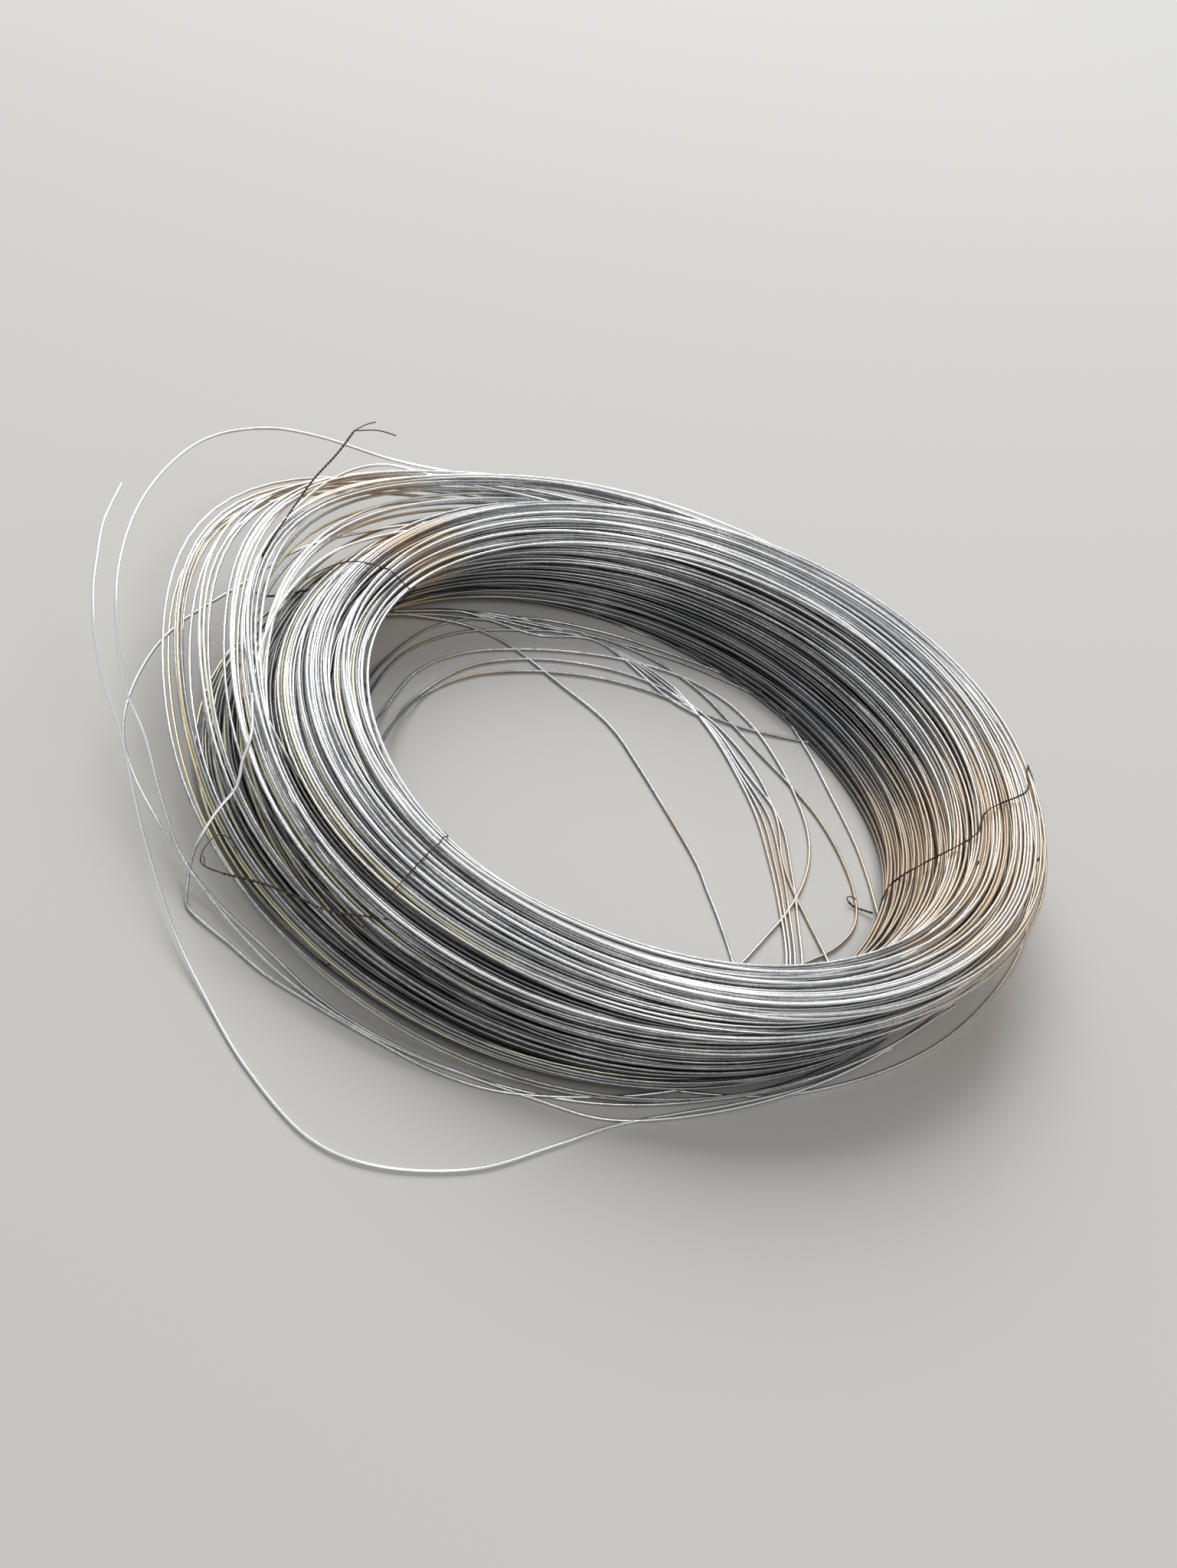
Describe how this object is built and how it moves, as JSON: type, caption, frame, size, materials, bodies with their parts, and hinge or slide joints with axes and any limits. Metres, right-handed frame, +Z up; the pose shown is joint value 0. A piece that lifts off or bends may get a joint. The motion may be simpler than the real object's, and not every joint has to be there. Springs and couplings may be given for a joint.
{
  "type": "coil of fencing wire",
  "caption": "Round coil of plain galvanised steel fencing wire with some sprung outer turns, held by twisted wire ties.",
  "frame": {"origin": "on the bore's axis, at half the coil's width", "axes": "+Z up along the bore's axis as the coil lies flat, -Y towards the side seen in the picture, sprung turns towards -X"},
  "size_m": [0.7678, 0.751, 0.1436],
  "materials": {
    "galvanised_wire": "zinc-coated steel, bright to dull grey, with light tan staining",
    "tie_wire": "black annealed soft steel, dull"
  },
  "bodies": {
    "root": {"wire_coil": "galvanised_wire", "sprung_turns": "galvanised_wire", "wire_end_outer": "galvanised_wire", "tie_wire_right": "tie_wire", "tie_wire_back_left": "tie_wire", "tie_wire_front_left": "tie_wire"}
  },
  "joints": []
}
